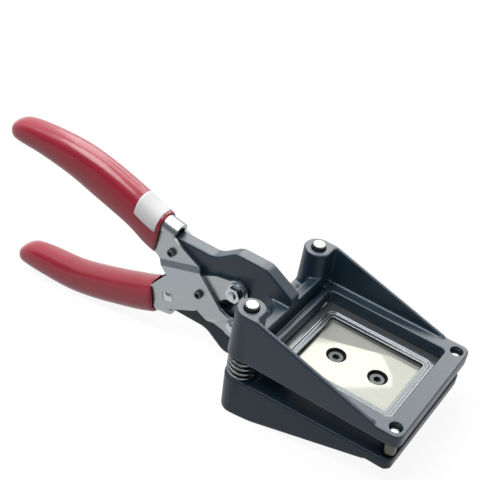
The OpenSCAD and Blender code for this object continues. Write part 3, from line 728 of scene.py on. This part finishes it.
class CUTTER_OT_levers(bpy.types.Operator):
    """Makes the folded lever plates"""

    bl_idname = "cutter.levers"
    bl_label = "Levers"

    def execute(self, context):
        colours, sizes = context.scene.cutter_colours, context.scene.cutter_sizes
        plate = zinc_finish(colours)
        for node in ("upper_lever", "lower_lever"):
            finished(edges_broken(node, node + "_plate", sizes.plate_edge), plate, node)
        return {"FINISHED"}


class CUTTER_OT_pins(bpy.types.Operator):
    """Makes the pins, rivet, bolt, nut and washer of the levers"""

    bl_idname = "cutter.pins"
    bl_label = "Pins and fasteners"

    def execute(self, context):
        colours, sizes = context.scene.cutter_colours, context.scene.cutter_sizes
        bright = zinc_finish(
            colours, "fastener_plate", grain=(600, 600, 600), shade=1.4, rough=0.13)
        black = oxide_finish(colours)
        for finish, nodes in (
            (black, ("rear_pin_upper", "centre_pivot")),
            (bright, ("rear_pin_lower", "front_rivet", "front_bolt", "front_nut", "front_washer")),
        ):
            for node in nodes:
                finished(edges_broken(node, node + "_turned", sizes.turned_edge), finish, node)
        return {"FINISHED"}


class CUTTER_OT_grips(bpy.types.Operator):
    """Makes the dipped vinyl grips"""

    bl_idname = "cutter.grips"
    bl_label = "Grips"

    def execute(self, context):
        colours, sizes = context.scene.cutter_colours, context.scene.cutter_sizes
        vinyl = vinyl_finish(colours)
        for node in ("upper_grip", "lower_grip"):
            finished(softened(node, node + "_dip", sizes.dip_voxel, sizes.dip_rounds), vinyl, node)
        return {"FINISHED"}


class CUTTER_OT_label(bpy.types.Operator):
    """Makes the bare paper label"""

    bl_idname = "cutter.label"
    bl_label = "Label"

    def execute(self, context):
        colours, sizes = context.scene.cutter_colours, context.scene.cutter_sizes
        label = rounded("grip_label", "grip_label_paper", sizes.label_levels)
        finished(label, paper_finish(colours), "grip_label")
        return {"FINISHED"}


def floor_plane(behind=50 * MM):
    """Point and normal of the floor, which touches the lower bosses and the lower grip."""
    heel = Vector((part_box("spring_left")[0].x, 0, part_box("lower_jaw")[0].z))
    grip = [vert.co for vert in frame["nodes"]["lower_grip"].data.vertices]
    slope = max(
        (heel.z - point.z) / (heel.x - point.x) for point in grip if point.x < heel.x - behind)
    return heel, Vector((-slope, 0, 1)).normalized()


def facing(direction):
    """The turn of a lamp or camera that looks along a direction."""
    return direction.to_track_quat("-Z", "Y").to_matrix().to_4x4()


def spot_lamp(name, watts, aim, away, cone):
    """A soft lamp that stands away from its aim, fades out round it, and is mirrored nowhere."""
    data = bpy.data.lights.new(name, "SPOT")
    data.energy = watts
    data.shadow_soft_size = 0.12
    data.spot_size = math.radians(cone)
    data.spot_blend = 1.0
    lamp = added(name, data)
    lamp.matrix_world = Matrix.Translation(aim + away) @ facing(-away)
    lamp.visible_glossy = False


class Rig:
    """Places softboxes and cards about one direction, at a distance of one metre."""

    def __init__(self, ahead):
        self.ahead = Vector(ahead).normalized()
        self.side = UPRIGHT.cross(self.ahead).normalized()
        self.up = self.ahead.cross(self.side)

    def place(self, u, v):
        return self.ahead + self.side * u + self.up * v

    def softbox(self, name, level, edges):
        """A softbox between its left, right, low and high edges, whose face has a radiance."""
        left, right, low, high = edges
        data = bpy.data.lights.new(name, "AREA")
        data.shape = "RECTANGLE"
        data.size, data.size_y = right - left, high - low
        data.energy = level * data.size * data.size_y * math.pi
        middle = self.place((left + right) / 2, (low + high) / 2)
        turn = Matrix((-self.side, self.up, self.ahead)).transposed().to_4x4()
        added(name, data).matrix_world = Matrix.Translation(middle) @ turn

    def card(self, name, material, corners, distance=1.0):
        """A card with given corners, which shows only where it is mirrored."""
        bm = bmesh.new()
        bm.faces.new([bm.verts.new(self.place(u, v) * distance) for u, v in corners])
        card = modelled(name, bm)
        card.data.materials.append(material)
        card.visible_camera = card.visible_diffuse = card.visible_shadow = False


class CUTTER_OT_studio(bpy.types.Operator):
    """Sets up the floor, the surroundings, the lamps and the camera"""

    bl_idname = "cutter.studio"
    bl_label = "Studio"

    def execute(self, context):
        studio = context.scene.cutter_studio
        self.surroundings(context.scene, studio.sky_level)
        self.floor()
        self.softboxes(studio)
        self.spots(studio)
        flag = glow_finish("flag_cloth", COOL_WHITE, studio.flag_level)
        Rig(IN_FRONT).card("dark_flag", flag, DARK_FLAG)
        self.camera(context.scene, studio)
        return {"FINISHED"}

    def surroundings(self, scene, level):
        """White all round: full white where it is seen or mirrored, and a softer level as light."""
        sky = Sky("studio")
        strength = sky.ranged(sky.seen(), 0, 1, level, 1.0)
        white = sky.node("ShaderNodeBackground", {"Color": (1, 1, 1, 1), "Strength": strength})
        sky.close(white, "ShaderNodeOutputWorld")
        scene.world = sky.world

    def floor(self):
        """A pale floor that the cutter lies on, heel and lower grip down."""
        heel, normal = floor_plane()
        turn = UPRIGHT.rotation_difference(normal).to_matrix().to_4x4()
        bm = bmesh.new()
        bmesh.ops.create_grid(bm, x_segments=1, y_segments=1, size=FLOOR_REACH)
        bmesh.ops.transform(bm, matrix=Matrix.Translation(heel) @ turn, verts=bm.verts)
        floor = modelled("floor", bm)
        floor.data.materials.append(floor_finish())

    def softboxes(self, studio):
        """Softboxes behind and overhead, and the cards that the punch mirrors."""
        back = Rig(BEHIND)
        for name, edges in BACK_SOFTBOXES.items():
            back.softbox(name, studio.box_level, edges)
        bright = glow_finish("card_glow", WARM_WHITE, studio.card_level)
        back.card("bright_card", bright, BRIGHT_CARD)
        dusk = glow_finish("dusk_glow", WARM_WHITE, studio.dusk_level)
        back.card("grey_card", dusk, GREY_CARD, distance=1.05)
        Rig(OVERHEAD).softbox("top_softbox", studio.top_level, TOP_SOFTBOX)

    def spots(self, studio):
        """Soft lamps on the jaws and on the ends of the grips."""
        jaw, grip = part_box("upper_jaw")[1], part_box("upper_grip")[0]
        spot_lamp(
            "fill_lamp", studio.fill_watts, aim=Vector((jaw.x - 40 * MM, 0, jaw.z / 2)),
            away=Vector((0.3, -0.75, 0.6)), cone=15)
        spot_lamp(
            "grip_lamp", studio.grip_watts, aim=Vector((grip.x + 15 * MM, 0, grip.z)),
            away=Vector((-0.4, -0.1, 0.4)), cone=14)

    def camera(self, scene, studio):
        """A camera at the photo's viewing angle."""
        data = bpy.data.cameras.new("camera")
        data.lens = studio.lens
        data.sensor_width = 36.0
        data.clip_start, data.clip_end = 0.01, 20.0
        round_by, down_by = studio.azimuth, studio.elevation
        ahead = Vector((
            -math.sin(round_by) * math.cos(down_by), math.cos(round_by) * math.cos(down_by),
            -math.sin(down_by)))
        camera = added("camera", data)
        camera.matrix_world = (
            Matrix.Translation(studio.camera_place) @ facing(ahead)
            @ Matrix.Rotation(studio.roll, 4, "Z"))
        scene.camera = camera
        scene.view_settings.view_transform = "Standard"


class CUTTER_PT_panel(bpy.types.Panel):
    """Buttons for each group of pieces, and their sizes and colours"""

    bl_label = "Card Cutter"
    bl_idname = "CUTTER_PT_panel"
    bl_space_type = "VIEW_3D"
    bl_region_type = "UI"
    bl_category = "Card Cutter"

    def draw(self, context):
        for operator in OPERATORS:
            self.layout.operator(operator.bl_idname)
        for name in SETTINGS:
            group = getattr(context.scene, name)
            box = self.layout.box()
            for prop in group.bl_rna.properties:
                if prop.identifier not in ("name", "rna_type"):
                    box.prop(group, prop.identifier)


OPERATORS = (
    CUTTER_OT_studio, CUTTER_OT_jaws, CUTTER_OT_cutting_set, CUTTER_OT_guides,
    CUTTER_OT_levers, CUTTER_OT_pins, CUTTER_OT_grips, CUTTER_OT_label,
)
SETTINGS = {
    "cutter_sizes": CutterSizes,
    "cutter_colours": CutterColours,
    "cutter_studio": StudioSettings,
}


def register():
    for group in SETTINGS.values():
        bpy.utils.register_class(group)
    for name, group in SETTINGS.items():
        setattr(bpy.types.Scene, name, PointerProperty(type=group))
    for operator in OPERATORS:
        bpy.utils.register_class(operator)
    bpy.utils.register_class(CUTTER_PT_panel)


def unregister():
    bpy.utils.unregister_class(CUTTER_PT_panel)
    for operator in reversed(OPERATORS):
        bpy.utils.unregister_class(operator)
    for name, group in SETTINGS.items():
        delattr(bpy.types.Scene, name)
        bpy.utils.unregister_class(group)


def main():
    register()
    bpy.ops.cutter.studio()
    bpy.ops.cutter.jaws()
    bpy.ops.cutter.cutting_set()
    bpy.ops.cutter.guides()
    bpy.ops.cutter.levers()
    bpy.ops.cutter.pins()
    bpy.ops.cutter.grips()
    bpy.ops.cutter.label()


if __name__ == "__main__":
    main()
